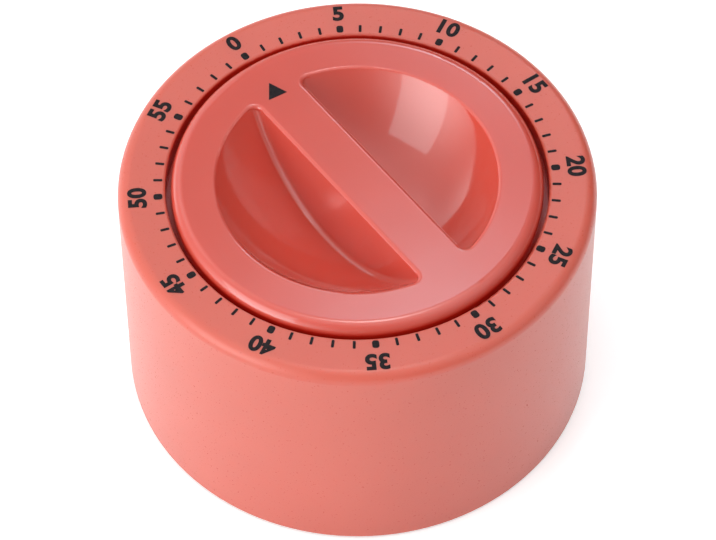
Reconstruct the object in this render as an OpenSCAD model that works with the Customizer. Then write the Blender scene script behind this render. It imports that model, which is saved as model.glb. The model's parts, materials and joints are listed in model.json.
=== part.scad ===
// Wind-up countdown timer with a sixty-minute dial.
// A round drum case holds a turning knob cap in a well in its top. Under the well
// hang a spring-driven clockwork movement and its bell, and a slotted base cover
// closes the drum. The origin is at the middle of the plane that the feet stand on,
// +Z is up, and the zero mark of the dial lies towards +Y.

/* [Case] */
// Outside diameter of the drum case
case_d = 72; // [66:1:82]
// Height of the case, from its lower rim to the dial face
case_h = 42; // [38:0.5:50]
// Wall of the drum
case_wall = 2.2; // [1.8:0.1:2.8]
// Width of the dial ring around the knob's well
dial_w = 7.2; // [6.6:0.1:8]
// Thickness of the dial ring
dial_t = 2; // [1.6:0.1:2.6]
// Radius of the rounded edge between the dial and the side
case_edge_r = 1.8; // [0.6:0.1:2.2]
// Radius of the rounded edge around the well's mouth
mouth_edge_r = 0.4; // [0.2:0.1:0.8]
// Depth of the ledge that the knob's rim runs over, below the dial face
ledge_depth = 3.2; // [3.1:0.1:4]
// Width of that ledge
ledge_w = 1.6; // [1.2:0.1:2]
// Wall of the well that the knob turns in
collar_t = 1.8; // [1.4:0.1:2.2]
// Thickness of the well's floor
well_floor_t = 1.8; // [1.4:0.1:2.4]

/* [Knob] */
// Width of the knob's ring around the finger bowls
knob_ring_w = 6.7; // [6:0.1:7.5]
// Height of the knob's face above the dial face
knob_rise = 1.1; // [0.4:0.1:2]
// Radius of the knob's rounded outer edge
knob_edge_r = 1.8; // [0.8:0.1:2.4]
// Running gap between the knob and the well
knob_gap = 0.8; // [0.5:0.05:1.2]
// Moulded wall of the knob
knob_wall = 1.8; // [1.4:0.1:2]
// Width of the grip bar that runs across the knob
grip_w = 7.3; // [6.4:0.1:8.6]
// Depth of the finger bowls under the knob's face, at the middle
bowl_depth = 13; // [12:0.1:14.5]
// Radius of the fillet between the grip bar and each bowl
bowl_fillet_r = 0.8; // [0.6:0.1:2]
// Radius of the bowls' corners at the ends of the grip bar, seen from above
bowl_corner_r = 1.2; // [0.8:0.1:3]
// Radius of the rounded lip around each bowl
lip_r = 0.6; // [0.4:0.1:1]
// How far past the zero mark the pointer rests, anticlockwise, in degrees
rest_turn = 1.9; // [0:0.1:4]
// Clearance between the knob and the floor of the well
knob_floor_gap = 0.6; // [0.4:0.1:1]
// Height of the skirt's lower edge above the floor of the well
skirt_lift = 1.5; // [0.8:0.1:3]
// Outside diameter of the knob's hub
hub_d = 9; // [8:0.1:11]
// Height of the socket in the hub for the main arbor
hub_socket_h = 11.5; // [8:0.5:12.5]

/* [Base] */
// Thickness of the base cover
base_t = 1.8; // [1.4:0.1:2.2]
// Depth of the base cover's outside face within the case's rim
base_recess = 0.4; // [0:0.1:1]
// Radial clearance between the base cover and the case
base_fit = 0.15; // [0.05:0.05:0.3]
// Wall of the case's rim where the base cover sits
rim_wall = 1.4; // [1:0.1:1.6]
// Diameter of the rubber feet
foot_d = 8; // [6:0.5:9]
// Height that the feet stand out below the case's rim
foot_proud = 0.6; // [0.3:0.1:1.2]
// Depth of the pocket that holds each foot
foot_pocket = 0.7; // [0.4:0.1:0.9]
// Distance from the feet to the edge of the base cover
foot_edge = 3.45; // [2:0.05:5]
// Number of sound slots
slot_count = 12; // [6:1:16]
// Width of each sound slot
slot_w = 2; // [1:0.1:2.6]
// Radius where the sound slots start
slot_in_r = 7; // [6:0.5:9]
// Radius where the sound slots end
slot_out_r = 17; // [13:0.5:20]
// Diameter of the bosses that the base cover is screwed to
boss_d = 5.6; // [5:0.1:6]
// Shank diameter of the cover screws
cover_screw_d = 2.2; // [1.8:0.1:2.4]
// Head diameter of the cover screws
cover_head_d = 4.4; // [3.8:0.1:4.8]
// Shank length of the cover screws below their heads
cover_screw_l = 8; // [5:0.5:12]

/* [Movement frame] */
// Thickness of the front and back plates
plate_t = 1; // [0.8:0.1:1.2]
// Diameter of the plate pillars
pillar_d = 4.4; // [3.8:0.1:5]
// Distance from the pillars to the edge of the plates
pillar_edge = 0.95; // [0.6:0.05:1.5]
// Diameter of the bosses that the movement hangs from
frame_boss_d = 5; // [4.4:0.1:5.4]
// Shank diameter of the long movement screws
frame_screw_d = 2; // [1.6:0.1:2.2]
// Head diameter of the movement screws
frame_head_d = 3.8; // [3.2:0.1:4]
// Diameter of the main arbor
main_arbor_d = 6; // [5.4:0.1:6.4]
// Diameter of the main arbor inside the knob's hub
main_socket_d = 5; // [4:0.1:5.2]
// Depth of the flat along the main arbor's upper end
main_flat = 0.7; // [0.4:0.1:1]
// Diameter of the pivots that turn in the plates
pivot_d = 0.9; // [0.7:0.05:1]
// Radial clearance of pivots and bores
pivot_fit = 0.05; // [0.03:0.01:0.08]

/* [Train] */
// Teeth of the great wheel, which turns once an hour
great_teeth = 72; // [66:1:78]
// Teeth of the second wheel
second_teeth = 60; // [54:1:66]
// Teeth of the third wheel
third_teeth = 56; // [50:1:60]
// Leaves of every pinion
pinion_leaves = 8; // [8:1:10]
// Module of the great wheel and the pinion that it drives
great_module = 0.4; // [0.38:0.005:0.42]
// Module of the second wheel and the pinion that it drives
second_module = 0.35; // [0.33:0.005:0.37]
// Module of the third wheel and the pinion that it drives
third_module = 0.3; // [0.29:0.005:0.32]
// Thickness of the great wheel and the ratchet wheel
great_t = 0.8; // [0.6:0.1:1]
// Thickness of the smaller wheels
wheel_t = 0.6; // [0.4:0.1:0.8]
// Teeth of the escape wheel
escape_teeth = 15; // [12:1:18]
// Tip radius of the escape wheel
escape_r = 4.1; // [3.6:0.1:4.2]
// Points of the star that lifts the hammer
star_points = 8; // [6:1:10]
// Tip radius of the star that lifts the hammer
star_r = 2.2; // [1.8:0.1:2.3]
// Teeth of the ratchet wheel
ratchet_teeth = 12; // [10:1:14]
// Tip radius of the ratchet wheel
ratchet_r = 4.8; // [4.4:0.1:5]

/* [Spring, bell and levers] */
// Width of the mainspring's strip
spring_w = 3.5; // [3:0.1:4]
// Thickness of the mainspring's strip
spring_t = 0.35; // [0.25:0.05:0.45]
// Number of turns of the mainspring
spring_turns = 7; // [5:1:7]
// Radius of the mainspring's outer turn
spring_r = 13; // [12:0.1:13.5]
// Space between the bell and the hub of the hammer arm
bell_side = 0.6; // [0.4:0.1:1.5]
// Thickness of the bell's sheet
bell_t = 0.7; // [0.5:0.1:0.9]
// Radius of the bell's rounded shoulder
bell_shoulder_r = 3.2; // [2:0.1:3.4]
// Outside radius of the balance ring
balance_r = 5.6; // [5:0.1:5.8]
// Thickness of the balance ring
balance_t = 1.2; // [0.8:0.1:1.3]
// Radius of the hammer's head
hammer_head_r = 1.5; // [1.2:0.1:1.8]
// Radius of the trip cam
cam_r = 10; // [9.4:0.1:10.4]
// Depth of the notch in the trip cam
notch_depth = 1.9; // [1.6:0.1:2.4]

/* [Hidden] */

$fn = 96;
small_fn = 32;
cut = 1; // how far a cutter reaches past the face that it opens

// Clearances
screw_fit = 0.05; // around screws, posts and pressed seats
plate_gap = 0.45; // between the plates and the cover bosses
lever_gap = 0.35; // between a lever and the wheel, cam or bell that it works on
cam_air = 0.4; // between the trip cam and the back plate
arbor_air = 0.7; // around the main arbor in the well's floor
pivot_inset = 0.15; // from a pivot's end to the outside of its plate
end_air = 0.3; // past the end of an arbor or a screw in its blind hole

// Radii of the case and the well
case_r = case_d / 2;
inner_r = case_r - case_wall;
rebate_r = case_r - rim_wall;
cover_r = rebate_r - base_fit;
mouth_r = case_r - dial_w;
well_r = mouth_r - ledge_w;
knob_r = mouth_r - knob_gap;
skirt_r = well_r - knob_gap;
bowl_rim_r = knob_r - knob_ring_w;

// Heights, from the plane that the feet stand on
rim_z = foot_proud;
base_low = rim_z + base_recess;
base_top = base_low + base_t;
dial_z = rim_z + case_h;
knob_top = dial_z + knob_rise;
knob_low = knob_top - bowl_depth - knob_wall;
ledge_z = dial_z - ledge_depth;
floor_top = knob_low - knob_floor_gap;
floor_low = floor_top - well_floor_t;

// Heights of the movement, which hangs from the well's floor. The bell takes its share of
// the height that the pieces leave free, and the gaps between the layers take the rest.
bell_share = 0.5;
gap_count = 9;
screw_head_h = 1.2; // heads of the movement screws and of the bell's screw
layers_h = spring_w + 2 * plate_t + 2 * great_t + 3 * wheel_t + 2 * screw_head_h;
free_h = floor_low - base_top - layers_h;
air = free_h * (1 - bell_share) / gap_count;
spring_low = floor_low - air - spring_w;
front_top = spring_low - air;
front_low = front_top - plate_t;
great_low = front_low - air - great_t;
ratchet_low = great_low - great_t;
second_low = ratchet_low - air - wheel_t;
third_low = second_low - air - wheel_t;
escape_low = third_low - air - wheel_t;
back_top = escape_low - air;
back_low = back_top - plate_t;
bell_rim = back_low - screw_head_h - air;
bell_low = base_top + air + screw_head_h;
cam_t = great_t;
cam_low = back_top + cam_air;

// Places of the arbors: each stands in mesh with the one before it
function at(angle, r) = [r * cos(angle), r * sin(angle)];
great_pitch_r = great_teeth * great_module / 2;
second_pitch_r = second_teeth * second_module / 2;
third_pitch_r = third_teeth * third_module / 2;
second_pinion_r = pinion_leaves * great_module / 2;
third_pinion_r = pinion_leaves * second_module / 2;
escape_pinion_r = pinion_leaves * third_module / 2;
second_dir = 0;
third_dir = 98;
escape_dir = 145;
balance_dir = 168;
hammer_dir = 66;
second_at = at(second_dir, great_pitch_r + second_pinion_r);
third_at = second_at + at(third_dir, second_pitch_r + third_pinion_r);
escape_at = third_at + at(escape_dir, third_pitch_r + escape_pinion_r);

// The balance stands off by the reach of its pins over the escape wheel
pin_r = 0.3; // pins on the pallet arm
pallet_half = 35; // half of the angle between the two pallet pins
pallet_swing = 10; // swing of the balance to either side
pallet_r = 3.9; // from the balance staff to each pallet pin
pin_clear = escape_r + lever_gap + pin_r;
pin_angle = pallet_half - pallet_swing;
pin_side = pallet_r * sin(pin_angle);
balance_reach = pallet_r * cos(pin_angle) + sqrt(pow(pin_clear, 2) - pow(pin_side, 2));
balance_at = escape_at + at(balance_dir, balance_reach);

// Hammer and trip lever
tail_l = 2.35; // length of the hammer staff's tail
hammer_at = escape_at + at(hammer_dir, star_r + lever_gap + tail_l);
hammer_hub_r = 1.25;
bell_r = norm(hammer_at) - hammer_hub_r - bell_side;
head_dir = 50; // direction of the hammer's head from the bell's axis
trip_at = [-17, 9]; // the trip lever's stud stands beside the cam

// Fasteners and posts
screw_angles = [90, 210, 330];
foot_angles = [30, 150, 270];
pillar_angles = [120, 215, 305];
boss_bite = 0.4; // how far the cover bosses run into the drum's wall
boss_ring_r = inner_r + boss_bite - boss_d / 2;
cover_head_h = 0.8; // height of the cover screws' heads
cover_screw_top = base_low + cover_head_h + cover_screw_l;
boss_over = 2; // how far a cover boss reaches past the end of its screw
plate_r = boss_ring_r - boss_d / 2 - plate_gap;
pillar_ring_r = plate_r - pillar_d / 2 - pillar_edge;
foot_ring_r = cover_r - foot_d / 2 - foot_edge;
cover_hole_d = cover_screw_d + 2 * screw_fit;
frame_hole_d = frame_screw_d + 2 * screw_fit;
frame_bite = 0.4; // how far the movement screws reach into the well's floor
seat_r = 0.8; // radius of the collar that a small wheel is pressed on
seat_hole_r = seat_r + screw_fit;
post_d = 2; // spring post and trip stud
post_hole_d = post_d + 2 * screw_fit;
post_head_d = 3.4;
post_at = at(225, spring_r + post_d / 2 + spring_t);

// Tooth forms: half of the root's and the tip's width as shares of the tooth pitch, then
// addendum and dedendum as shares of the module
wheel_tooth = [0.3, 0.13, 0.9, 1.15];
leaf_tooth = [0.26, 0.12, 0.7, 1.25];
saw_tip = 0.12; // width of a saw tooth's tip, as a share of the tooth pitch

// Turn that puts a pinion in mesh with an unturned wheel that lies the other way along dir
function mesh_turn(dir, wheel, leaves) = dir + 180 + dir * wheel / leaves + 180 / leaves;

// A toothed outline centred on its axis, with one tooth towards +X
module toothed(teeth, pitch_r, mod, form)
{
    root = pitch_r - form[3] * mod;
    tip = pitch_r + form[2] * mod;
    corners = [[-form[0], root], [-form[1], tip], [form[1], tip], [form[0], root]];
    polygon([for (k = [0:teeth - 1], c = corners) at((k + c[0]) * 360 / teeth, c[1])]);
}

// A saw-toothed outline, for the escape wheel, the ratchet wheel and the hammer's star
module saw_toothed(teeth, tip_r, tooth_h, lean)
{
    corners = [[0, tip_r - tooth_h], [lean, tip_r], [lean + saw_tip, tip_r]];
    polygon([for (k = [0:teeth - 1], c = corners) at((k + c[0]) * 360 / teeth, c[1])]);
}

// A vertical round bar from one height to another
module bar(d, low, high) { translate([0, 0, low]) cylinder(d = d, h = high - low, $fn = small_fn); }

// The cutter for a round hole that opens through both heights
module bore(d, low, high) { bar(d, low - cut, high + cut); }

// A flat ring
module ring(outer_r, inner_r, t)
{
    difference() {
        cylinder(r = outer_r, h = t);
        translate([0, 0, -cut]) cylinder(r = inner_r, h = t + 2 * cut);
    }
}

// A flat link with round ends between two points
module link(from, to, w, low, t)
{
    run = to - from;
    stand(from) bar(w, low, low + t);
    stand(to) bar(w, low, low + t);
    translate([from.x, from.y, low]) rotate([0, 0, atan2(run.y, run.x)])
        translate([0, -w / 2, 0]) cube([norm(run), w, t]);
}

// Stands its children at a place in plan
module stand(place) { translate([place.x, place.y, 0]) children(); }

// Places copies on a circle
module around(angles, r) { for (a = angles) rotate([0, 0, a]) translate([r, 0, 0]) children(); }

/* ---------- case ---------- */

// Half section of the case, as a profile to revolve
module case_profile()
{
    difference() {
        union() {
            square([case_r - case_edge_r, case_h]);
            square([case_r, case_h - case_edge_r]);
            translate([case_r - case_edge_r, case_h - case_edge_r]) circle(case_edge_r);
        }
        // the well, with its ledge and its rounded mouth
        translate([0, floor_top - rim_z]) square([well_r, case_h]);
        translate([0, ledge_z - rim_z]) square([mouth_r, case_h]);
        translate([mouth_r, case_h - mouth_edge_r]) difference() {
            translate([-cut, 0]) square(mouth_edge_r + cut);
            translate([mouth_edge_r, 0]) circle(mouth_edge_r, $fn = small_fn);
        }
        // the space under the well and around it
        translate([0, -cut]) square([inner_r, floor_low - rim_z + cut]);
        translate([well_r + collar_t, 0])
            square([inner_r - well_r - collar_t, ledge_z - rim_z - well_floor_t]);
        translate([mouth_r + collar_t, 0]) square([inner_r - mouth_r - collar_t, case_h - dial_t]);
    }
}

module case_shell()
{
    color("#e8735f") difference() {
        union() {
            translate([0, 0, rim_z]) rotate_extrude() case_profile();
            around(screw_angles, boss_ring_r) bar(boss_d, base_top - cut, cover_screw_top + boss_over);
            around(pillar_angles, pillar_ring_r)
                bar(frame_boss_d, front_top, floor_low + well_floor_t / 2);
        }
        // the rebate that takes the base cover
        translate([0, 0, rim_z - cut]) cylinder(r = rebate_r, h = base_top - rim_z + cut);
        around(screw_angles, boss_ring_r) bar(cover_hole_d, base_top - cut, cover_screw_top + end_air);
        around(pillar_angles, pillar_ring_r)
            bar(frame_hole_d, front_top - cut, floor_low + frame_bite + end_air);
        bore(main_arbor_d + 2 * arbor_air, floor_low, floor_top);
    }
}

/* ---------- base ---------- */

module base_cover()
{
    spigot_r = inner_r - base_fit;
    spigot_h = 1.6;
    spigot_t = 1;
    rib_in_r = slot_out_r + slot_w;
    rib_t = 1;
    color("#e8735f") difference() {
        union() {
            translate([0, 0, base_low]) cylinder(r = cover_r, h = base_t);
            // locating spigot, broken at the bosses
            difference() {
                translate([0, 0, base_top]) ring(spigot_r, spigot_r - spigot_t, spigot_h);
                around(screw_angles, boss_ring_r)
                    bar(boss_d + 4 * base_fit, base_top, base_top + spigot_h + cut);
            }
            // stiffening rib around the sound slots
            translate([0, 0, base_top]) ring(rib_in_r + rib_t, rib_in_r, rib_t);
        }
        for (k = [0:slot_count - 1]) rotate([0, 0, (k + 0.5) * 360 / slot_count])
            link([slot_in_r, 0], [slot_out_r, 0], slot_w, base_low - cut, base_t + 2 * cut);
        around(foot_angles, foot_ring_r)
            bar(foot_d + 2 * base_fit, base_low - cut, base_low + foot_pocket);
        around(screw_angles, boss_ring_r) {
            bore(cover_hole_d + 2 * screw_fit, base_low, base_top);
            bar(cover_head_d + 2 * base_fit, base_low - cut, base_low + cover_head_h);
        }
    }
}

module rubber_feet()
{
    edge = 0.3;
    foot_top = base_low + foot_pocket;
    color("#2b2b2d") around(foot_angles, foot_ring_r) {
        bar(foot_d, edge, foot_top);
        cylinder(d1 = foot_d - 2 * edge, d2 = foot_d, h = edge, $fn = small_fn);
    }
}

// Cross-shaped driver recess, cut upwards into a screw head of diameter d
module cross_recess(d, z, depth)
{
    w = d / 6;
    for (a = [0, 90]) rotate([0, 0, a])
        translate([-d / 4, -w / 2, z - cut]) cube([d / 2, w, depth + cut]);
}

// A screw that points up, with its head's outside face at height low
module screw(head_d, head_h, shank_d, low, shank_l)
{
    difference() {
        union() {
            bar(head_d, low, low + head_h);
            bar(shank_d, low + head_h, low + head_h + shank_l);
        }
        cross_recess(head_d, low, head_h / 2);
    }
}

module cover_screws()
{
    sunk = 0.05; // how far the heads lie under the cover's face
    color("silver") around(screw_angles, boss_ring_r)
        screw(cover_head_d, cover_head_h - sunk, cover_screw_d, base_low + sunk, cover_screw_l);
}

/* ---------- movement frame ---------- */

module pivot_holes(low, high)
{
    for (p = [second_at, third_at, escape_at, balance_at, hammer_at])
        stand(p) bore(pivot_d + 2 * pivot_fit, low, high);
}

module frame_holes(low, high) { around(pillar_angles, pillar_ring_r) bore(frame_hole_d, low, high); }

module front_plate()
{
    color("#c9c9c4") difference() {
        translate([0, 0, front_low]) cylinder(r = plate_r, h = plate_t);
        pivot_holes(front_low, front_top);
        frame_holes(front_low, front_top);
        bore(main_arbor_d + 2 * pivot_fit, front_low, front_top);
        stand(post_at) bore(post_hole_d, front_low, front_top);
    }
}

module back_plate()
{
    window_d = 9;
    window_ring_r = 16;
    window_angles = [20, 250, 340]; // between the arbors
    color("#c9c9c4") difference() {
        translate([0, 0, back_low]) cylinder(r = plate_r, h = plate_t);
        pivot_holes(back_low, back_top);
        frame_holes(back_low, back_top);
        bore(main_socket_d + 2 * pivot_fit, back_low, back_top);
        stand(trip_at) bore(post_hole_d, back_low, back_top);
        around(window_angles, window_ring_r) bore(window_d, back_low, back_top);
    }
}

module plate_pillars()
{
    color("#b8b8b4") around(pillar_angles, pillar_ring_r) difference() {
        bar(pillar_d, back_top, front_low);
        bore(frame_hole_d, back_top, front_low);
    }
}

module movement_screws()
{
    shank_l = floor_low + frame_bite - back_low;
    color("silver") around(pillar_angles, pillar_ring_r)
        screw(frame_head_d, screw_head_h, frame_screw_d, back_low - screw_head_h, shank_l);
}

/* ---------- power ---------- */

// Centre line radius of the mainspring after a number of turns
spring_in_r = main_arbor_d / 2 + spring_t + lever_gap;
function coil_r(turns) = spring_in_r + (spring_r - spring_in_r) * turns / spring_turns;

module mainspring()
{
    steps = 24; // points in each turn
    end_angle = 225;
    count = spring_turns * steps;
    function coil_point(k, side) =
        at(end_angle + k * 360 / steps, coil_r(k / steps) + side * spring_t / 2);
    inner_side = [for (k = [0:count]) coil_point(k, -1)];
    outer_side = [for (k = [count:-1:0]) coil_point(k, 1)];
    color("#5d6672") {
        translate([0, 0, spring_low]) linear_extrude(spring_w) polygon(concat(inner_side, outer_side));
        // eye around the spring post
        stand(post_at) difference() {
            bar(post_hole_d + 2 * spring_t, spring_low, spring_low + spring_w);
            bore(post_hole_d, spring_low, spring_low + spring_w);
        }
    }
}

module spring_post()
{
    flange_h = 0.4;
    color("silver") stand(post_at) {
        bar(post_d, front_low, spring_low + spring_w + air / 2);
        bar(post_head_d, front_top, front_top + flange_h);
    }
}

module main_arbor()
{
    flat_low = knob_low - knob_floor_gap / 2;
    flat_x = main_socket_d / 2 - main_flat;
    color("silver") rotate([0, 0, rest_turn]) difference() {
        union() {
            bar(main_socket_d, back_low + pivot_inset, back_top);
            bar(main_arbor_d, back_top, flat_low);
            bar(main_socket_d, flat_low, knob_low + hub_socket_h - end_air);
        }
        translate([flat_x, -main_arbor_d / 2, flat_low])
            cube([main_arbor_d, main_arbor_d, hub_socket_h + cut]);
    }
}

module great_wheel()
{
    hole_count = 5;
    hole_r = 3;
    hole_ring_r = (great_pitch_r + main_arbor_d / 2) / 2;
    holes = [for (k = [0:hole_count - 1]) 90 + k * 360 / hole_count];
    color("#d9b35a") difference() {
        translate([0, 0, great_low]) linear_extrude(great_t)
            toothed(great_teeth, great_pitch_r, great_module, wheel_tooth);
        bore(main_arbor_d + 2 * pivot_fit, great_low, great_low + great_t);
        around(holes, hole_ring_r) bore(2 * hole_r, great_low, great_low + great_t);
    }
}

module ratchet_wheel()
{
    tooth_h = 0.8;
    tooth_lean = 0.8;
    color("#b8b8b4") difference() {
        translate([0, 0, ratchet_low]) linear_extrude(great_t)
            saw_toothed(ratchet_teeth, ratchet_r, tooth_h, tooth_lean);
        bore(main_arbor_d + 2 * screw_fit, ratchet_low, ratchet_low + great_t);
    }
}

module click_pawl()
{
    pawl_w = 1.4;
    pawl_t = great_t - screw_fit;
    rivet_d = 2.2;
    rivet_out = 3; // from the ratchet's tips to the pawl's rivet
    tip_gap = 0.1;
    rivet_at = at(270, ratchet_r + rivet_out);
    tip_at = at(308, ratchet_r + tip_gap + pawl_w / 2);
    color("#b8b8b4") {
        link(rivet_at, tip_at, pawl_w, ratchet_low, pawl_t);
        stand(rivet_at) bar(rivet_d, ratchet_low, great_low);
    }
}

module trip_cam()
{
    notch_half = 2.4;
    color("#e8e4d8") difference() {
        translate([0, 0, cam_low]) cylinder(r = cam_r, h = cam_t);
        bore(main_arbor_d + 2 * screw_fit, cam_low, cam_low + cam_t);
        translate([-cam_r - cut, -notch_half, cam_low - cut])
            cube([notch_depth + cut, 2 * notch_half, cam_t + 2 * cut]);
    }
}

/* ---------- train ---------- */

// A wheel pressed on its pinion's collar. Its lightening holes follow its pitch radius.
module train_wheel(place, teeth, pitch_r, mod, low)
{
    hole_angles = [0, 90, 180, 270];
    hole_ring_r = 0.56 * pitch_r;
    hole_r = 0.24 * pitch_r;
    color("#d9b35a") stand(place) difference() {
        translate([0, 0, low]) linear_extrude(wheel_t) toothed(teeth, pitch_r, mod, wheel_tooth);
        bore(2 * seat_hole_r, low, low + wheel_t);
        around(hole_angles, hole_ring_r) bore(2 * hole_r, low, low + wheel_t);
    }
}

// A staff with pivots in both plates, cut with leaves where a wheel drives it
module pinion_staff(place, turn, mod, pitch_r, wheel_low, drive_low, drive_t)
{
    leaf_over = 0.4; // leaves reach past the wheel that drives them
    leaf_low = drive_low - leaf_over;
    color("#b8b8b4") stand(place) {
        bar(pivot_d, back_low + pivot_inset, front_top - pivot_inset);
        bar(2 * seat_r, wheel_low, leaf_low);
        translate([0, 0, leaf_low]) rotate([0, 0, turn])
            linear_extrude(drive_t + 2 * leaf_over) toothed(pinion_leaves, pitch_r, mod, leaf_tooth);
    }
}

module second_wheel() { train_wheel(second_at, second_teeth, second_pitch_r, second_module, second_low); }

module second_pinion()
{
    turn = mesh_turn(second_dir, great_teeth, pinion_leaves);
    pinion_staff(second_at, turn, great_module, second_pinion_r, second_low, great_low, great_t);
}

module third_wheel() { train_wheel(third_at, third_teeth, third_pitch_r, third_module, third_low); }

module third_pinion()
{
    turn = mesh_turn(third_dir, second_teeth, pinion_leaves);
    pinion_staff(third_at, turn, second_module, third_pinion_r, third_low, second_low, wheel_t);
}

module escape_wheel()
{
    tooth_h = 1.2;
    tooth_lean = 0.35;
    color("#d9b35a") stand(escape_at) difference() {
        translate([0, 0, escape_low]) linear_extrude(wheel_t)
            saw_toothed(escape_teeth, escape_r, tooth_h, tooth_lean);
        bore(2 * seat_hole_r, escape_low, escape_low + wheel_t);
    }
}

module escape_pinion()
{
    turn = mesh_turn(escape_dir, third_teeth, pinion_leaves);
    pinion_staff(escape_at, turn, third_module, escape_pinion_r, escape_low, third_low, wheel_t);
}

module hammer_star()
{
    point_h = 0.9;
    point_lean = 0.45;
    star_under = 0.6; // the star reaches this far under the great wheel's level
    star_over = 0.2; // and this far over it
    star_low = great_low - star_under;
    star_t = star_under + great_t + star_over;
    color("#b8b8b4") stand(escape_at) difference() {
        translate([0, 0, star_low]) linear_extrude(star_t)
            saw_toothed(star_points, star_r, point_h, point_lean);
        bore(pivot_d + 2 * screw_fit, star_low, star_low + star_t);
    }
}

/* ---------- balance ---------- */

module balance_staff()
{
    over = 0.4; // the seat reaches past the balance ring
    color("silver") stand(balance_at) {
        bar(pivot_d, back_low + pivot_inset, front_top - pivot_inset);
        bar(2 * seat_r, escape_low, second_low + balance_t + over);
    }
}

module balance_ring()
{
    drop = 0.2; // the ring hangs this far under the second wheel's level
    low = second_low - drop;
    rim = 1.3;
    arm_w = 1.6;
    hub_r = 1.5;
    color("#b8b8b4") stand(balance_at) difference() {
        union() {
            translate([0, 0, low]) ring(balance_r, balance_r - rim, balance_t);
            rotate([0, 0, balance_dir + 90]) translate([-balance_r + rim / 2, -arm_w / 2, low])
                cube([2 * balance_r - rim, arm_w, balance_t]);
            bar(2 * hub_r, low, low + balance_t);
        }
        bore(2 * seat_hole_r, low, low + balance_t);
    }
}

module pallet_arm()
{
    arm_air = 0.4; // over the escape wheel
    low = escape_low + wheel_t + arm_air;
    arm_t = 0.5;
    arm_w = 1.3;
    hub_r = 1.4;
    pin_under = 0.1; // the pins reach past the escape wheel's lower face
    color("silver") stand(balance_at) difference() {
        union() {
            for (a = [-pallet_half, pallet_half]) {
                pin_at = at(balance_dir + 180 + a, pallet_r);
                link([0, 0], pin_at, arm_w, low, arm_t);
                stand(pin_at) bar(2 * pin_r, escape_low - pin_under, low + arm_t / 2);
            }
            bar(2 * hub_r, low, low + arm_t);
        }
        bore(2 * seat_hole_r, low, low + arm_t);
    }
}

/* ---------- bell, hammer and trip ---------- */

// Outline of a cup with a rounded shoulder, as a half profile to revolve
module cup_outline(r, low, high, shoulder)
{
    translate([0, low]) square([r - shoulder, high - low]);
    translate([0, low + shoulder]) square([r, high - low - shoulder]);
    translate([r - shoulder, low + shoulder]) circle(shoulder);
}

module bell()
{
    color("#d8d8da") rotate_extrude() difference() {
        intersection() {
            cup_outline(bell_r, bell_low, bell_rim, bell_shoulder_r);
            square([bell_r, bell_rim]);
        }
        cup_outline(bell_r - bell_t, bell_low + bell_t, bell_rim + cut, bell_shoulder_r - bell_t);
        translate([0, bell_low - cut]) square([frame_hole_d / 2, bell_t + 2 * cut]);
    }
}

arm_under = 2.2; // from the bell's rim down to the hammer arm
arm_low = bell_rim - arm_under;
thread_l = 3; // depth of the threaded hole in the bell post

module bell_post()
{
    flange_d = 11;
    flange_h = 0.8;
    color("#b8b8b4") difference() {
        union() {
            bar(main_arbor_d + flange_h, bell_low + bell_t, back_low);
            bar(flange_d, back_low - flange_h, back_low);
        }
        bar(frame_hole_d, bell_low, bell_low + bell_t + thread_l);
        // relief for the main arbor's lower pivot
        bore(main_socket_d + 4 * pivot_fit, back_low + cut - flange_h / 2, back_low);
    }
}

module bell_screw()
{
    head_d = 4.8;
    color("silver") screw(head_d, screw_head_h, frame_screw_d, bell_low - screw_head_h,
                          bell_t + thread_l - end_air);
}

module hammer_staff()
{
    staff_under = 0.8; // the staff's end under the hammer arm
    tail_under = 0.2; // the tail hangs this far under the great wheel's level
    tail_w = 1;
    tail_end = hammer_at + at(hammer_dir + 180, tail_l - tail_w / 2);
    tail_low = great_low - tail_under;
    color("silver") {
        stand(hammer_at) bar(pivot_d, arm_low - staff_under, front_top - pivot_inset);
        link(hammer_at, tail_end, tail_w, tail_low, great_t);
    }
}

module hammer_arm()
{
    arm_w = 1.4;
    arm_t = 0.8;
    hub_h = 1.6;
    head_under = 0.6;
    head_h = 2.6;
    head_low = arm_low - head_under;
    head_at = at(head_dir, bell_r + lever_gap + hammer_head_r);
    color("silver") difference() {
        union() {
            link(hammer_at, head_at, arm_w, arm_low, arm_t);
            stand(hammer_at) bar(2 * hammer_hub_r, arm_low, arm_low + hub_h);
            stand(head_at) bar(2 * hammer_head_r, head_low, head_low + head_h);
        }
        stand(hammer_at) bore(pivot_d + 2 * screw_fit, arm_low, arm_low + hub_h);
    }
}

module trip_stud()
{
    head_t = 0.5;
    lever_air = 0.2; // over the trip lever
    head_low = cam_low + cam_t + lever_air;
    color("silver") stand(trip_at) {
        bar(post_d, back_low, head_low);
        bar(post_head_d, head_low, head_low + head_t);
    }
}

module trip_lever()
{
    arm_w = 1.8;
    nose_w = 1.6;
    hub_d = 4;
    tail_dir = 38;
    tail_l = 8.5;
    nose_at = [-cam_r - lever_gap - nose_w / 2, 0];
    heel_at = nose_at - [nose_w, 0];
    color("#b8b8b4") difference() {
        union() {
            link(trip_at, heel_at, arm_w, cam_low, cam_t);
            link(heel_at, nose_at, nose_w, cam_low, cam_t);
            link(trip_at, trip_at + at(tail_dir, tail_l), arm_w, cam_low, cam_t);
            stand(trip_at) bar(hub_d, cam_low, cam_low + cam_t);
        }
        stand(trip_at) bore(post_d + 2 * pivot_fit, cam_low, cam_low + cam_t);
    }
}

/* ---------- knob ---------- */

// Sphere that both finger bowls are part of: it meets the knob's face in the rim circle
sphere_r = (pow(bowl_rim_r, 2) + pow(bowl_depth, 2)) / (2 * bowl_depth);
sphere_z = knob_top - bowl_depth + sphere_r;
grip_x = grip_w / 2;

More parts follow.
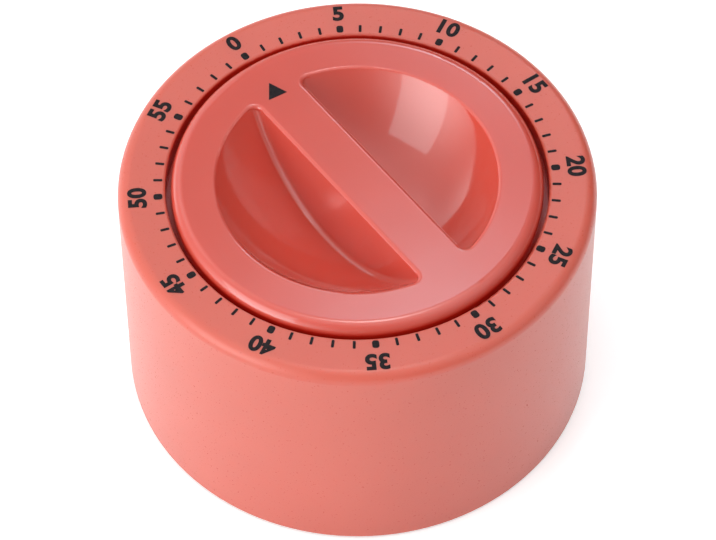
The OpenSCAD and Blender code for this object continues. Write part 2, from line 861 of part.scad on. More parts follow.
// The lip's flare: a round edge of radius lip_r that runs smoothly out of the sphere
bite = 0.01; // how far two rounded cutters overlap, so that their surfaces cross
lip_z = knob_top - lip_r;
lip_drop = sphere_z - lip_z;
lip_reach = sphere_r + lip_r - bite;
flare_r = sqrt(pow(lip_reach, 2) - pow(lip_drop, 2));
meet_z = sphere_z - lip_drop * sphere_r / lip_reach;

// Centres of the rounded corners, and the direction in which they meet the rim
corner_x = grip_x + bowl_corner_r;
corner_y = sqrt(pow(flare_r - lip_r - bowl_corner_r, 2) - pow(corner_x, 2));
corner_dir = atan2(corner_y, corner_x);

// One side of the sphere, cut off flat by the grip bar. The cut meets the sphere in a
// circle, so the body and its filleted edge are one revolve about the X axis.
module bowl_body(r, wall_x, fillet)
{
    mid = [sqrt(pow(r - fillet, 2) - pow(wall_x + fillet, 2)), wall_x + fillet];
    on_sphere = mid * r / (r - fillet);
    corner = [r + cut, wall_x - cut];
    translate([0, 0, sphere_z]) rotate([0, 90, 0]) rotate_extrude() {
        difference() {
            intersection() {
                circle(r);
                translate([0, wall_x]) square([r, r - wall_x]);
            }
            polygon([mid, on_sphere, [corner.x, on_sphere.y], corner, [mid.x, corner.y]]);
        }
        translate(mid) circle(fillet, $fn = small_fn);
    }
}

// Rounded lip of one bowl: a flare that runs smoothly from the sphere and from the grip
// bar's side into the knob's face
module bowl_lip()
{
    intersection() {
        rotate_extrude() {
            translate([0, lip_z]) square([sqrt(pow(sphere_r, 2) - pow(lip_drop, 2)) - bite, lip_r]);
            difference() {
                translate([0, meet_z]) square([flare_r, knob_top + cut - meet_z]);
                translate([flare_r, lip_z]) circle(lip_r, $fn = small_fn);
            }
        }
        difference() {
            translate([grip_x - lip_r, -knob_r, meet_z])
                cube([knob_r, 2 * knob_r, knob_top + cut - meet_z]);
            translate([grip_x - lip_r, knob_r, lip_z]) rotate([90, 0, 0])
                cylinder(r = lip_r, h = 2 * knob_r, $fn = small_fn);
        }
    }
}

// The part of the bowl and its lip that lies outside the rounding of the corner towards +Y
module corner_wedge()
{
    reach = 3 * (bowl_corner_r + lip_r);
    rim_side = at(corner_dir, reach);
    translate([corner_x, corner_y, knob_low]) linear_extrude(bowl_depth + knob_wall + 2 * cut)
        polygon([[0, 0], rim_side, [rim_side.x - reach, reach], [-reach, reach], [-reach, 0]]);
}

// The lip around the corner towards +Y
module corner_lip()
{
    r = bowl_corner_r + bite + lip_r;
    translate([corner_x, corner_y, 0]) rotate_extrude() difference() {
        translate([0, lip_z]) square([r, lip_r + cut]);
        translate([r, lip_z]) circle(lip_r, $fn = small_fn);
    }
}

// All that is cut out of the knob for one bowl
module bowl()
{
    difference() {
        union() {
            bowl_body(sphere_r, grip_x, bowl_fillet_r);
            bowl_lip();
        }
        for (side = [0, 1]) mirror([0, side, 0]) corner_wedge();
    }
    for (side = [0, 1]) mirror([0, side, 0]) {
        intersection() {
            bowl_body(sphere_r, grip_x, bowl_fillet_r);
            stand([corner_x, corner_y]) bar(2 * (bowl_corner_r + bite), knob_low, knob_top + cut);
        }
        corner_lip();
    }
}

// Outside of the cap: a face with a rounded edge, whose rim runs over the ledge, and the
// skirt that runs in the well
module knob_blank()
{
    rim_low = ledge_z + knob_floor_gap;
    skirt_low = floor_top + skirt_lift;
    rotate_extrude() difference() {
        union() {
            translate([0, rim_low]) square([knob_r - knob_edge_r, knob_top - rim_low]);
            translate([0, rim_low]) square([knob_r, knob_top - knob_edge_r - rim_low]);
            translate([knob_r - knob_edge_r, knob_top - knob_edge_r]) circle(knob_edge_r);
            translate([0, skirt_low]) square([skirt_r, knob_top - knob_edge_r - skirt_low]);
        }
        translate([0, skirt_low - cut])
            square([skirt_r - knob_wall, knob_top - knob_wall - skirt_low + cut]);
    }
}

// Outsides of the two bowls, the hub between them and the ribs in the hollow grip bar
module knob_inside()
{
    rib_t = 1.4;
    rib_ring_r = 13;
    rib_low = knob_low + bowl_depth / 3;
    for (a = [0, 180]) rotate([0, 0, a])
        bowl_body(sphere_r + knob_wall, grip_x - knob_wall, bowl_fillet_r + knob_wall);
    bar(hub_d, knob_low, knob_top);
    for (y = [-rib_ring_r, rib_ring_r])
        translate([-grip_x, y - rib_t / 2, rib_low]) cube([grip_w, rib_t, bowl_depth]);
}

module knob()
{
    inside_r = skirt_r - knob_wall / 2;
    inside_h = knob_top - knob_low - knob_wall / 2;
    flat_x = main_socket_d / 2 - main_flat + screw_fit;
    color("#dd5f50") rotate([0, 0, rest_turn]) difference() {
        union() {
            knob_blank();
            intersection() {
                knob_inside();
                translate([0, 0, knob_low]) cylinder(r = inside_r, h = inside_h);
            }
        }
        for (a = [0, 180]) rotate([0, 0, a]) bowl();
        // socket for the main arbor, with its flat
        difference() {
            bar(main_socket_d + 2 * screw_fit, knob_low - cut, knob_low + hub_socket_h);
            translate([flat_x, -hub_d / 2, knob_low - 2 * cut])
                cube([hub_d, hub_d, hub_socket_h + 3 * cut]);
        }
    }
}

case_shell();
base_cover();
rubber_feet();
cover_screws();
front_plate();
back_plate();
plate_pillars();
movement_screws();
mainspring();
spring_post();
bell();
bell_post();
bell_screw();
trip_stud();
knob();
main_arbor();
great_wheel();
ratchet_wheel();
click_pawl();
trip_cam();
second_wheel();
second_pinion();
third_wheel();
third_pinion();
escape_wheel();
escape_pinion();
hammer_star();
balance_ring();
pallet_arm();
balance_staff();
hammer_arm();
hammer_staff();
trip_lever();
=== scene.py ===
"""Looks of the wind-up countdown timer: print, plastics, metals, floor, lights and camera."""

import json
import math

import bpy
from mathutils import Matrix, Vector

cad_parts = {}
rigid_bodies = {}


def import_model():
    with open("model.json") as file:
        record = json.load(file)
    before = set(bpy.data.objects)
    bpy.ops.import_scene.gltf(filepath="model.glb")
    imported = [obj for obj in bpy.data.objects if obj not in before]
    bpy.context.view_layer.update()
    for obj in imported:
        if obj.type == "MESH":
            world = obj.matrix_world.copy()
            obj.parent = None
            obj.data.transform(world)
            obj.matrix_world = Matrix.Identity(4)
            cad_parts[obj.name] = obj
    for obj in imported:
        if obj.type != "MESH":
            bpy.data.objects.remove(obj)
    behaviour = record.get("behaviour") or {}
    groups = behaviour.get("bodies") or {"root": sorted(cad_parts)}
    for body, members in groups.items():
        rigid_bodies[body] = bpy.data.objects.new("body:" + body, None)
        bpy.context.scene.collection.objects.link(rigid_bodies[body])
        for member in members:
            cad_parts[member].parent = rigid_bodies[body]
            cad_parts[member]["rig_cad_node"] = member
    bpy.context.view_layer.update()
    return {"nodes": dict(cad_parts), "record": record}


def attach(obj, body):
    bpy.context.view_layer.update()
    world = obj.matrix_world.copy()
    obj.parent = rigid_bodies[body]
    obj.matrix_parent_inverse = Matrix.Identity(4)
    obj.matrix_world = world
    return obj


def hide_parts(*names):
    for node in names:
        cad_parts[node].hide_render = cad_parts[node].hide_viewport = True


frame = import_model()
nodes = frame["nodes"]
scene = bpy.context.scene

MM = 0.001
MERGE_WITHIN = 0.001 * MM

# Sizes of the timer, in millimetres, as the solids have them
CASE_R = 36.0
DIAL_Z = 42.6
KNOB_Z = 43.7
REST_TURN = math.radians(1.9)

# The camera: distance and aim in case radii, turns in degrees, lens over sensor width
CAMERA_DISTANCE = 16.788
CAMERA_AIM_UP = -0.36609
CAMERA_AIM_RIGHT = 0.000433
CAMERA_ELEVATION = 52.299
CAMERA_HEADING = -34.84
CAMERA_ROLL = -0.3947
LENS_OVER_WIDTH = 4031.96 / 716
SENSOR_W = 36

# The knob's finger bowls and grip bar: the solid has upright sides and deep bowls, and the
# moulded knob has sides that lean out as they go down and bowls that are a little shallower
BOWL_RIM_R = 21.3
GRIP_X = 3.65
SOLID_BOWL_DEPTH = 13.0
BOWL_DEPTH = 11.7
DRAFT = math.tan(math.radians(8))
FAR_SIDE_OUT = 0.68
# The change reaches out to the skirt, this far under the bowls, and fades in over a width
SKIRT_R = 24.0
WALL_ROOM = 4.0
BLEND_W = 2.0
# What keeps the sums steady at the rim, at the bar's tips and where a bowl has no depth,
# how often the lean is worked out again, and the step that finds the slope
NEAR_RIM = 0.5
NEAR_TIP = 0.01
LEAST_DEPTH = 0.1
LEAN_ROUNDS = 4
SLOPE_STEP = 0.01

# The gap around the knob, whose walls get a painted shade of deeper red: inner and outer radius
# with the width that each fades over, and the heights between which the painted shade comes in,
# below the dial and above the step
GAP_R = (27.0, 29.0)
GAP_R_FADE = (1.0, 0.3)
GAP_Z = (42.0, 42.5)
GAP_STEP_Z = (37.5, 38.5)
# Painted shade in the gap: a deeper red for the shade there and the light that comes through the
# plastic
GAP_PAINTED_SHADE_RED = (0.60, 0.022, 0.010)

# Where a noise's low and high tones lie
NOISE_RANGE = (0.3, 0.7)

# Metals: material slot, name, dark and light tone, roughness, and the stretch and scale of
# their tool marks
METALS = (
    ("plate_steel", "zinc_plated_sheet",
     (0.46, 0.46, 0.43), (0.60, 0.60, 0.57), 0.34, (0.08, 1, 1), 4.0),
    ("staff_steel", "turned_bright_steel",
     (0.50, 0.50, 0.50), (0.58, 0.58, 0.59), 0.22, (0.3, 0.3, 4), 5.0),
    ("screw_steel", "zinc_plated_screw",
     (0.50, 0.51, 0.53), (0.62, 0.62, 0.63), 0.30, (1, 1, 1), 3.0),
    ("spring_steel", "blued_spring_steel",
     (0.10, 0.14, 0.20), (0.16, 0.20, 0.27), 0.28, (1, 1, 0.1), 3.0),
    ("bell_steel", "nickel_plated_bell",
     (0.62, 0.61, 0.59), (0.68, 0.67, 0.65), 0.12, (1, 1, 6), 0.8),
    ("wheel_brass", "stamped_brass",
     (0.62, 0.41, 0.14), (0.72, 0.50, 0.19), 0.26, (0.1, 1, 1), 4.0),
)

# Print on the dial ring
MINUTES = 60
MINUTES_A_NUMERAL = 5
INK_T = 0.03
TICK_R = 29.92
TICK_L = 1.38
TICK_W = 0.44
FIVE_L = 1.36
FIVE_W = 1.06
CORNER_SHARE = 0.36
CORNER_STEPS = 4
NUMERAL_R = 32.9
NUMERAL_H = 2.9
STROKE_OVER = 0.15
CAPITAL_SHARE = 0.70
LETTER_SPACING = 1.05
CURVE_STEPS = 6

# Print on the knob: the pointer's tip and its other two corners
POINTER_CORNERS = ((0.28, 22.68), (-1.69, 20.0), (1.41, 19.6))

# Floor: size in metres, tone, and the glow that the camera and the reflections see
FLOOR_SIZE = 6
FLOOR_TONE = (0.9, 0.9, 0.9)
FLOOR_ROUGHNESS = 0.9
FLOOR_GLOW = 0.38

# Soft light around the timer: azimuth and elevation in degrees, brightness, and how narrow
ROOM_LOBES = ((90, 10, 0.90, 6), (135, 10, 0.06, 6), (180, 10, 2.95, 6), (225, 10, 0.24, 6),
              (270, 10, 0.20, 6), (315, 10, 0.12, 6), (135, 45, 0.58, 6), (270, 45, 0.28, 6),
              (315, 45, 0.67, 6), (0, 90, 1.22, 6), (24, 71, 0.59, 30), (45, 78, 5.0, 150),
              (114, 2, 1.30, 30), (100, 50, 0.70, 30))
WINDOW_LOBES = ((24, 33, 0.17, 30), (84, 33, 0.43, 30), (38, 44, 0.42, 150),
                (38, 50, 0.17, 150), (46, 38, 4.5, 150), (46, 62, 0.40, 150),
                (51, 48, 4.8, 1500), (53, 55, 2.6, 1500), (54, 58, 4.6, 1500))
ROOM_TINT = (1, 1, 1)
WINDOW_TINT = (0.65, 1.0, 1.15)

# The lit panel at the left: place and roll in degrees, distance and size in metres
LEFT_PANEL = {"azimuth": -178, "elevation": 26, "roll": 16, "distance": 0.60, "width": 0.38,
              "height": 0.60, "level": 1.38, "tint": (0.70, 1.0, 1.03)}
LIGHT_AIM = (0, 0, 0.04)


# ---------- tools ----------

def deselect():
    bpy.ops.object.select_all(action="DESELECT")


def pick(piece):
    """Selects one piece alone and makes it the active one."""
    deselect()
    piece.select_set(True)
    bpy.context.view_layer.objects.active = piece


def edit_whole(*steps):
    """Runs editing steps on the whole mesh of the active piece."""
    bpy.ops.object.mode_set(mode="EDIT")
    bpy.ops.mesh.select_all(action="SELECT")
    for step in steps:
        step()
    bpy.ops.object.mode_set(mode="OBJECT")


def merge_points():
    bpy.ops.mesh.remove_doubles(threshold=MERGE_WITHIN)


def face_outward():
    bpy.ops.mesh.normals_make_consistent(inside=False)


def settle(piece, name):
    """Names a finished piece and puts its place into its mesh."""
    pick(piece)
    bpy.ops.object.transform_apply(location=True, rotation=True, scale=True)
    piece.name = name
    return piece


def join(pieces, name):
    deselect()
    for piece in pieces:
        piece.select_set(True)
    bpy.context.view_layer.objects.active = pieces[0]
    bpy.ops.object.join()
    return settle(bpy.context.object, name)


# ---------- camera ----------

def aim_camera():
    """Stands the camera in front of the dial, above it and to the left of the zero mark."""
    distance = CAMERA_DISTANCE * CASE_R * MM
    elevation = math.radians(CAMERA_ELEVATION)
    heading = math.radians(CAMERA_HEADING)
    roll = math.radians(CAMERA_ROLL)
    aim_up = CAMERA_AIM_UP * CASE_R * MM
    aim_right = CAMERA_AIM_RIGHT * CASE_R * MM
    back = Vector((0, -math.cos(elevation), math.sin(elevation)))
    right = Vector((1, 0, 0))
    up = back.cross(right)
    place = back * distance
    look_back = (place - right * aim_right - up * aim_up).normalized()
    side = up.cross(look_back).normalized()
    rise = look_back.cross(side)
    frame_x = side * math.cos(roll) + rise * math.sin(roll)
    frame_y = rise * math.cos(roll) - side * math.sin(roll)
    turn = Matrix((frame_x, frame_y, look_back)).transposed()
    about = Matrix.Rotation(heading, 4, "Z")
    dial = Matrix.Translation((0, 0, DIAL_Z * MM))
    camera = bpy.data.objects.new("camera", bpy.data.cameras.new("camera"))
    scene.collection.objects.link(camera)
    camera.data.sensor_width = SENSOR_W
    camera.data.lens = LENS_OVER_WIDTH * SENSOR_W
    camera.data.clip_start = 0.01
    camera.matrix_world = dial @ about @ Matrix.Translation(place) @ turn.to_4x4()
    scene.camera = camera


# ---------- materials ----------

def new_material(name):
    """An empty node material with its tree and its shader."""
    material = bpy.data.materials.new(name)
    material.use_nodes = True
    tree = material.node_tree
    shader = tree.nodes["Principled BSDF"]
    return material, tree, shader


def add_node(tree, kind, operation=None):
    node = tree.nodes.new(kind)
    if operation is not None:
        node.operation = operation
    return node


def maths(tree, operation, *values):
    """The result of a maths node, whose inputs are other nodes' outputs or plain numbers."""
    node = add_node(tree, "ShaderNodeMath", operation)
    for socket, value in zip(node.inputs, values):
        if isinstance(value, bpy.types.NodeSocket):
            tree.links.new(value, socket)
        else:
            socket.default_value = value
    return node.outputs[0]


def object_place(tree):
    """Object coordinates in millimetres, so that a pattern's scale reads per millimetre."""
    place = add_node(tree, "ShaderNodeTexCoord")
    scale = add_node(tree, "ShaderNodeMapping")
    scale.inputs["Scale"].default_value = (1000, 1000, 1000)
    tree.links.new(place.outputs["Object"], scale.inputs["Vector"])
    return scale.outputs["Vector"]


def noise(tree, place, scale, detail, roughness=0.5):
    node = add_node(tree, "ShaderNodeTexNoise")
    node.inputs["Scale"].default_value = scale
    node.inputs["Detail"].default_value = detail
    node.inputs["Roughness"].default_value = roughness
    tree.links.new(place, node.inputs["Vector"])
    return node.outputs["Fac"]


def ramp(tree, value, low, high):
    """A colour that runs from low to high as a noise does."""
    node = add_node(tree, "ShaderNodeValToRGB")
    for stop, position, tone in zip(node.color_ramp.elements, NOISE_RANGE, (low, high)):
        stop.position = position
        stop.color = (*tone, 1)
    tree.links.new(value, node.inputs["Fac"])
    return node.outputs["Color"]


def map_range(tree, value, source, target):
    """A number that runs over the target range as the value runs over the source range."""
    node = add_node(tree, "ShaderNodeMapRange")
    ends = ("From Min", "From Max", "To Min", "To Max")
    for key, number in zip(ends, (*source, *target)):
        node.inputs[key].default_value = number
    tree.links.new(value, node.inputs["Value"])
    return node.outputs["Result"]


def spread(tree, value, low, high):
    """A number that runs from low to high as a noise does."""
    return map_range(tree, value, NOISE_RANGE, (low, high))


def within(tree, value, zero_at, one_at):
    """A number that runs from 0 to 1 between two places, which may lie either way round."""
    return map_range(tree, value, (zero_at, one_at), (0, 1))


def bump(tree, shader, height, depth_mm, strength, under=None):
    node = add_node(tree, "ShaderNodeBump")
    node.inputs["Strength"].default_value = strength
    node.inputs["Distance"].default_value = depth_mm * MM
    tree.links.new(height, node.inputs["Height"])
    if under is not None:
        tree.links.new(under, node.inputs["Normal"])
    tree.links.new(node.outputs["Normal"], shader.inputs["Normal"])
    return node.outputs["Normal"]


def gap_share(tree, place):
    """Where the gap's painted shade falls: 1 on the walls of the narrow gap around the knob, and 0
    elsewhere.
    """
    split = add_node(tree, "ShaderNodeSeparateXYZ")
    tree.links.new(place, split.inputs[0])
    flat = add_node(tree, "ShaderNodeMapping")
    flat.inputs["Scale"].default_value = (1, 1, 0)
    tree.links.new(place, flat.inputs["Vector"])
    radius = add_node(tree, "ShaderNodeVectorMath", "LENGTH")
    tree.links.new(flat.outputs["Vector"], radius.inputs[0])
    r, z = radius.outputs["Value"], split.outputs["Z"]
    past_inner = within(tree, r, GAP_R[0] - GAP_R_FADE[0], GAP_R[0])
    short_of_outer = within(tree, r, GAP_R[1] + GAP_R_FADE[1], GAP_R[1])
    below_dial = within(tree, z, GAP_Z[1], GAP_Z[0])
    above_step = within(tree, z, GAP_STEP_Z[0], GAP_STEP_Z[1])
    ring = maths(tree, "MULTIPLY", past_inner, short_of_outer)
    return maths(tree, "MULTIPLY", maths(tree, "MULTIPLY", ring, below_dial), above_step)


def moulded_plastic(name, deep, pale, roughness, grain, coat):
    """Injection-moulded plastic: a slight flow mottle, a fine grain and a soft waviness. In the
    narrow gap its colour is a painted deeper red, which stands for the shade there and for the
    light that gets to it through the plastic."""
    material, tree, shader = new_material(name)
    place = object_place(tree)
    flow = noise(tree, place, scale=0.06, detail=2.0)
    fine = noise(tree, place, scale=3.0, detail=4.0)
    slow = noise(tree, place, scale=0.08, detail=1.0)
    # The walls of the gap take a painted shade, a deeper red, in place of the plastic's own colour
    colour = add_node(tree, "ShaderNodeMixRGB")
    tree.links.new(gap_share(tree, place), colour.inputs["Fac"])
    tree.links.new(ramp(tree, flow, deep, pale), colour.inputs["Color1"])
    colour.inputs["Color2"].default_value = (*GAP_PAINTED_SHADE_RED, 1)
    tree.links.new(colour.outputs[0], shader.inputs["Base Color"])
    gloss = spread(tree, fine, roughness - 0.03, roughness + 0.03)
    tree.links.new(gloss, shader.inputs["Roughness"])
    wave = bump(tree, shader, slow, depth_mm=0.06, strength=0.5)
    bump(tree, shader, fine, depth_mm=grain, strength=0.6, under=wave)
    shader.inputs["IOR"].default_value = 1.53
    shader.inputs["Coat Weight"].default_value = coat
    shader.inputs["Coat Roughness"].default_value = 0.04
    shader.inputs["Subsurface Weight"].default_value = 0.4
    shader.inputs["Subsurface Radius"].default_value = (1.0, 0.25, 0.15)
    shader.inputs["Subsurface Scale"].default_value = 2.5 * MM
    return material


def worked_metal(name, dark, light, roughness, stretch, scale):
    """Metal with fine tool marks, which run the way that the stretch is smallest."""
    material, tree, shader = new_material(name)
    place = object_place(tree)
    lay = add_node(tree, "ShaderNodeMapping")
    lay.inputs["Scale"].default_value = stretch
    tree.links.new(place, lay.inputs["Vector"])
    marks = noise(tree, lay.outputs["Vector"], scale, detail=4.0, roughness=0.6)
    cloud = noise(tree, place, scale=0.25, detail=3.0)
    tree.links.new(ramp(tree, cloud, dark, light), shader.inputs["Base Color"])
    gloss = spread(tree, marks, roughness - 0.06, roughness + 0.08)
    tree.links.new(gloss, shader.inputs["Roughness"])
    bump(tree, shader, marks, depth_mm=0.01, strength=0.5)
    shader.inputs["Metallic"].default_value = 1.0
    return material


def mottled(name, dark, light, mottle, roughness, grain, depth, strength, specular=0.5):
    """A finish whose tone and roughness follow one mottle, with a grain in its surface. The
    mottle and the grain are each a scale and a detail."""
    material, tree, shader = new_material(name)
    place = object_place(tree)
    cover = noise(tree, place, *mottle)
    tree.links.new(ramp(tree, cover, dark, light), shader.inputs["Base Color"])
    tree.links.new(spread(tree, cover, *roughness), shader.inputs["Roughness"])
    bump(tree, shader, noise(tree, place, *grain), depth, strength)
    shader.inputs["Specular IOR Level"].default_value = specular
    return material


def make_materials():
    finish = {}
    finish["case_plastic"] = moulded_plastic(
        "coral_case_plastic", deep=(0.625, 0.114, 0.077), pale=(0.655, 0.122, 0.083),
        roughness=0.30, grain=0.002, coat=0.0)
    finish["knob_plastic"] = moulded_plastic(
        "coral_knob_plastic", deep=(0.62, 0.077, 0.052), pale=(0.65, 0.083, 0.057),
        roughness=0.09, grain=0.003, coat=0.8)
    finish["foot_rubber"] = mottled(
        "black_foot_rubber", dark=(0.018, 0.018, 0.019), light=(0.035, 0.034, 0.034),
        mottle=(2.0, 5.0), roughness=(0.7, 0.9), grain=(6.0, 3.0), depth=0.02, strength=0.5)
    for slot, name, *look in METALS:
        finish[slot] = worked_metal(name, *look)
    finish["cam_nylon"] = mottled(
        "natural_nylon", dark=(0.72, 0.68, 0.58), light=(0.80, 0.77, 0.68),
        mottle=(0.3, 3.0), roughness=(0.4, 0.5), grain=(4.0, 3.0), depth=0.01, strength=0.4)
    return finish


def printing_ink(name):
    """Pad-printed ink: near black, matt, slightly uneven in cover."""
    return mottled(
        name, dark=(0.010, 0.006, 0.007), light=(0.022, 0.016, 0.018), mottle=(2.5, 4.0),
        roughness=(0.45, 0.6), grain=(8.0, 2.0), depth=0.01, strength=0.5, specular=0.12)


def dress_solids(finish):
    """Gives every solid the finish that its material slot names."""
    for part in frame["record"]["subparts"]:
        solid = nodes[part["node"]]
        solid.data.materials.clear()
        solid.data.materials.append(finish[part["material_slot"]])


# ---------- knob ----------

def bowl_depth_at(r, depth):
    """How deep a bowl is at a radius, where its sphere is so deep at the middle."""
    sphere_r = (BOWL_RIM_R ** 2 + depth ** 2) / (2 * depth)
    return math.sqrt(max(sphere_r ** 2 - r ** 2, 0)) - (sphere_r - depth)


def zero_to_one(value):
    return min(max(value, 0), 1)


def moulded_place(place):
    """Where a point of the solid knob lies on the moulded one, in millimetres."""
    x, y, depth = place.x, place.y, KNOB_Z - place.z
    side = abs(x)
    r = math.hypot(x, y)
    circle_r = max(r, BOWL_RIM_R)
    below = depth - bowl_depth_at(math.hypot(max(side, GRIP_X), y), SOLID_BOWL_DEPTH)
    above = zero_to_one((WALL_ROOM - below) / BLEND_W)
    if above == 0 or circle_r - side < NEAR_TIP:
        return place.copy()
    beside = (zero_to_one(side / BLEND_W)
              * zero_to_one((circle_r - side) / (circle_r - GRIP_X)))
    widened = side + (above * beside * FAR_SIDE_OUT if x > 0 else 0)
    new_y = y * math.sqrt((circle_r ** 2 - widened ** 2) / (circle_r ** 2 - side ** 2))
    reach = above * zero_to_one((SKIRT_R - r) / BLEND_W)
    solid = bowl_depth_at(r, SOLID_BOWL_DEPTH)
    new_side, new_depth = widened, depth
    for _ in range(LEAN_ROUNDS):
        new_side = widened + reach * beside * DRAFT * max(new_depth, 0)
        moulded = bowl_depth_at(math.hypot(new_side, new_y), BOWL_DEPTH)
        ratio = max(moulded + NEAR_RIM, LEAST_DEPTH) / max(solid + NEAR_RIM, LEAST_DEPTH)
        new_depth = depth * (1 + reach * (min(ratio, 1) - 1))
    return Vector((math.copysign(new_side, x), new_y, KNOB_Z - new_depth))


def moulded_tilt(place):
    """How the moulding turns a normal at a point of the solid knob."""
    columns = []
    for axis in Matrix.Identity(3) * SLOPE_STEP:
        ahead, behind = moulded_place(place + axis), moulded_place(place - axis)
        columns.append((ahead - behind) / (2 * SLOPE_STEP))
    return Matrix(columns).inverted()


def mould_knob():
    """A merged copy of the solid knob, moved to its moulded shape with its normals kept smooth."""
    pick(nodes["knob"])
    bpy.ops.object.duplicate(linked=False)
    cap = bpy.context.object
    del cap["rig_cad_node"]
    solid_normals = [n for corner in cap.data.corner_normals for n in corner.vector]
    kept = cap.data.attributes.new("solid_normal", "FLOAT_VECTOR", "CORNER")
    kept.data.foreach_set("vector", solid_normals)
    edit_whole(merge_points)
    mesh = cap.data
    straight = Matrix.Rotation(-REST_TURN, 3, "Z")
    turned = straight.transposed()
    tilts = []
    for vertex in mesh.vertices:
        place = straight @ (vertex.co / MM)
        tilts.append(turned @ moulded_tilt(place) @ straight)
        vertex.co = turned @ moulded_place(place) * MM
    kept = mesh.attributes["solid_normal"]
    normals = [(0, 0, 0)] * len(mesh.loops)
    for corner in mesh.loops:
        solid_normal = kept.data[corner.index].vector
        normals[corner.index] = (tilts[corner.vertex_index] @ solid_normal).normalized()
    mesh.attributes.remove(kept)
    mesh.polygons.foreach_set("use_smooth", [True] * len(mesh.polygons))
    mesh.normals_split_custom_set(normals)
    cap.name = "moulded_knob"
    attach(cap, "winding_knob")
    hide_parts("knob")


# ---------- print ----------

def minute_angle(minute):
    """Where a minute stands on the dial, which runs clockwise from zero."""
    return math.radians(90 - 360 / MINUTES * minute)


def printed_block(length, width):
    """A short printed bar with rounded corners, at the three o'clock place of the dial."""
    deselect()
    middle = (TICK_R * MM, 0, (DIAL_Z + INK_T / 2) * MM)
    size = (length * MM, width * MM, INK_T * MM)
    bpy.ops.mesh.primitive_cube_add(size=1, location=middle, scale=size)
    block = bpy.context.object
    bpy.ops.object.transform_apply(location=False, rotation=False, scale=True)
    bpy.ops.object.mode_set(mode="EDIT")
    bpy.ops.mesh.select_mode(type="EDGE")
    bpy.ops.mesh.select_all(action="DESELECT")
    bpy.ops.object.mode_set(mode="OBJECT")
    for edge in block.data.edges:
        a, b = (block.data.vertices[v].co for v in edge.vertices)
        edge.select = abs(a.z - b.z) > INK_T * MM / 2
    bpy.ops.object.mode_set(mode="EDIT")
    bpy.ops.mesh.bevel(offset=CORNER_SHARE * width * MM, segments=CORNER_STEPS)
    bpy.ops.mesh.select_mode(type="VERT")
    bpy.ops.object.mode_set(mode="OBJECT")
    return settle(block, "printed_block")


def print_minute_marks(ink):
    minute_block = printed_block(TICK_L, TICK_W)
    five_block = printed_block(FIVE_L, FIVE_W)
    marks = []
    for minute in range(MINUTES):
        pick(minute_block if minute % MINUTES_A_NUMERAL else five_block)
        bpy.ops.object.duplicate(linked=False)
        mark = bpy.context.object
        mark.rotation_euler = (0, 0, minute_angle(minute))
        mark.data.materials.append(ink)
        marks.append(mark)
    for pattern in (minute_block, five_block):
        bpy.data.objects.remove(pattern)
    print_ring = join(marks, "minute_marks")
    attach(print_ring, "case")


def print_numerals(ink):
    numerals = []
    for minute in range(0, MINUTES, MINUTES_A_NUMERAL):
        angle = minute_angle(minute)
        deselect()
        bpy.ops.object.text_add(location=(0, 0, 0))
        text = bpy.context.object
        text.data.body = str(minute)
        text.data.size = (NUMERAL_H - 2 * STROKE_OVER) * MM / CAPITAL_SHARE
        text.data.align_x = "CENTER"
        text.data.align_y = "CENTER"
        text.data.offset = STROKE_OVER * MM
        text.data.space_character = LETTER_SPACING
        text.data.extrude = INK_T / 2 * MM
        text.data.resolution_u = CURVE_STEPS
        bpy.ops.object.convert(target="MESH")
        numeral = bpy.context.object
        edit_whole(merge_points, face_outward)
        x, y = NUMERAL_R * math.cos(angle), NUMERAL_R * math.sin(angle)
        numeral.location = (x * MM, y * MM, (DIAL_Z + INK_T / 2) * MM)
        numeral.rotation_euler = (0, 0, angle - math.pi / 2)
        numeral.data.materials.clear()
        numeral.data.materials.append(ink)
        numerals.append(numeral)
    numeral_ring = join(numerals, "minute_numerals")
    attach(numeral_ring, "case")


def print_pointer(ink):
    """The triangle on the grip bar's end, which points at the minutes left."""
    deselect()
    bpy.ops.mesh.primitive_cylinder_add(vertices=3, radius=1.0, depth=1.0, location=(0, 0, 0))
    pointer = bpy.context.object
    third = 2 * math.pi / 3
    for vertex in pointer.data.vertices:
        turn = math.atan2(vertex.co.x, vertex.co.y) % (2 * math.pi)
        x, y = POINTER_CORNERS[-round(turn / third) % 3]
        height = KNOB_Z + (INK_T if vertex.co.z > 0 else 0)
        vertex.co = Vector((x, y, height)) * MM
    pointer.rotation_euler = (0, 0, REST_TURN)
    edit_whole(face_outward)
    pointer.data.materials.append(ink)
    settle(pointer, "knob_pointer")
    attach(pointer, "winding_knob")


# ---------- floor, world and lights ----------

def lay_floor():
    deselect()
    bpy.ops.mesh.primitive_plane_add(size=FLOOR_SIZE, location=(0, 0, 0))
    floor = bpy.context.object
    floor.name = "floor"
    material, tree, shader = new_material("white_floor")
    shader.inputs["Base Color"].default_value = (*FLOOR_TONE, 1)
    shader.inputs["Roughness"].default_value = FLOOR_ROUGHNESS
    glow = add_node(tree, "ShaderNodeEmission")
    rays = add_node(tree, "ShaderNodeLightPath")
    seen = maths(tree, "MAXIMUM", rays.outputs["Is Camera Ray"], rays.outputs["Is Glossy Ray"])
    tree.links.new(maths(tree, "MULTIPLY", seen, FLOOR_GLOW), glow.inputs["Strength"])
    both = add_node(tree, "ShaderNodeAddShader")
    tree.links.new(shader.outputs[0], both.inputs[0])
    tree.links.new(glow.outputs[0], both.inputs[1])
    tree.links.new(both.outputs[0], tree.nodes["Material Output"].inputs["Surface"])
    floor.data.materials.append(material)


def direction(azimuth, elevation):
    az, el = math.radians(azimuth), math.radians(elevation)
    return Vector((math.cos(el) * math.cos(az), math.cos(el) * math.sin(az), math.sin(el)))


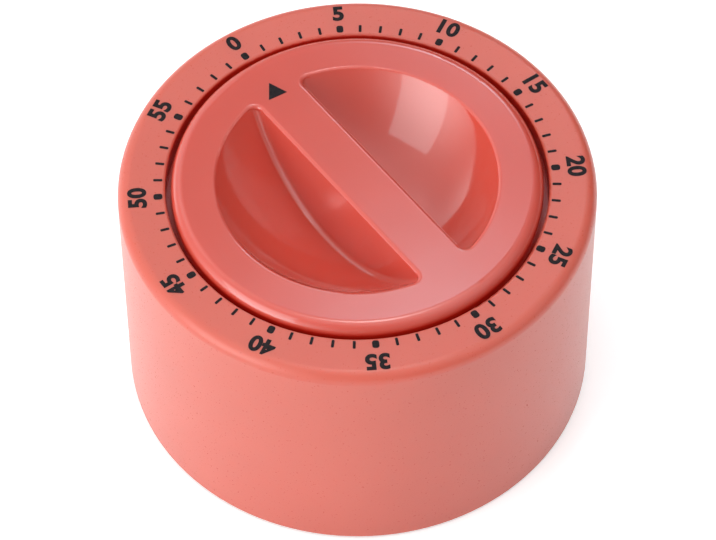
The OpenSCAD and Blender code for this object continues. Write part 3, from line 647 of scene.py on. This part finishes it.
def soft_light(tree, tint, lobes, total):
    """A background whose strength is the sum of its lobes and of the total given."""
    place = add_node(tree, "ShaderNodeTexCoord")
    for azimuth, elevation, level, focus in lobes:
        toward = add_node(tree, "ShaderNodeVectorMath", "DOT_PRODUCT")
        toward.inputs[1].default_value = direction(azimuth, elevation)
        tree.links.new(place.outputs["Generated"], toward.inputs[0])
        ahead = maths(tree, "MAXIMUM", toward.outputs["Value"], 0)
        falloff = maths(tree, "POWER", ahead, focus)
        total = maths(tree, "MULTIPLY_ADD", falloff, level, total)
    sky = add_node(tree, "ShaderNodeBackground")
    sky.inputs["Color"].default_value = (*tint, 1)
    tree.links.new(total, sky.inputs["Strength"])
    return sky.outputs[0]


def set_world():
    """A pale studio with a cool window behind: soft lobes of light that run into each other.
    The camera sees it white."""
    world = bpy.data.worlds.new("studio")
    world.use_nodes = True
    tree = world.node_tree
    tree.nodes.remove(tree.nodes["Background"])
    rays = add_node(tree, "ShaderNodeLightPath")
    both = add_node(tree, "ShaderNodeAddShader")
    room = soft_light(tree, ROOM_TINT, ROOM_LOBES, rays.outputs["Is Camera Ray"])
    window = soft_light(tree, WINDOW_TINT, WINDOW_LOBES, 0)
    tree.links.new(room, both.inputs[0])
    tree.links.new(window, both.inputs[1])
    tree.links.new(both.outputs[0], tree.nodes["World Output"].inputs["Surface"])
    scene.world = world


def softbox(name, azimuth, elevation, roll, distance, width, height, level, tint):
    """A rectangular light that faces the timer. The level is its brightness where 1 is white."""
    data = bpy.data.lights.new(name, "AREA")
    data.shape = "RECTANGLE"
    data.size = width
    data.size_y = height
    data.energy = level * width * height * math.pi
    data.color = tint
    lamp = bpy.data.objects.new(name, data)
    scene.collection.objects.link(lamp)
    away = direction(azimuth, elevation)
    lamp.location = Vector(LIGHT_AIM) + away * distance
    facing = away.to_track_quat("Z", "Y").to_matrix()
    lamp.rotation_euler = (facing @ Matrix.Rotation(math.radians(roll), 3, "Z")).to_euler()


scene.view_settings.view_transform = "Standard"
aim_camera()
finish = make_materials()
ink = printing_ink("black_printing_ink")
dress_solids(finish)
mould_knob()
print_minute_marks(ink)
print_numerals(ink)
print_pointer(ink)
lay_floor()
set_world()
softbox("left_panel", **LEFT_PANEL)
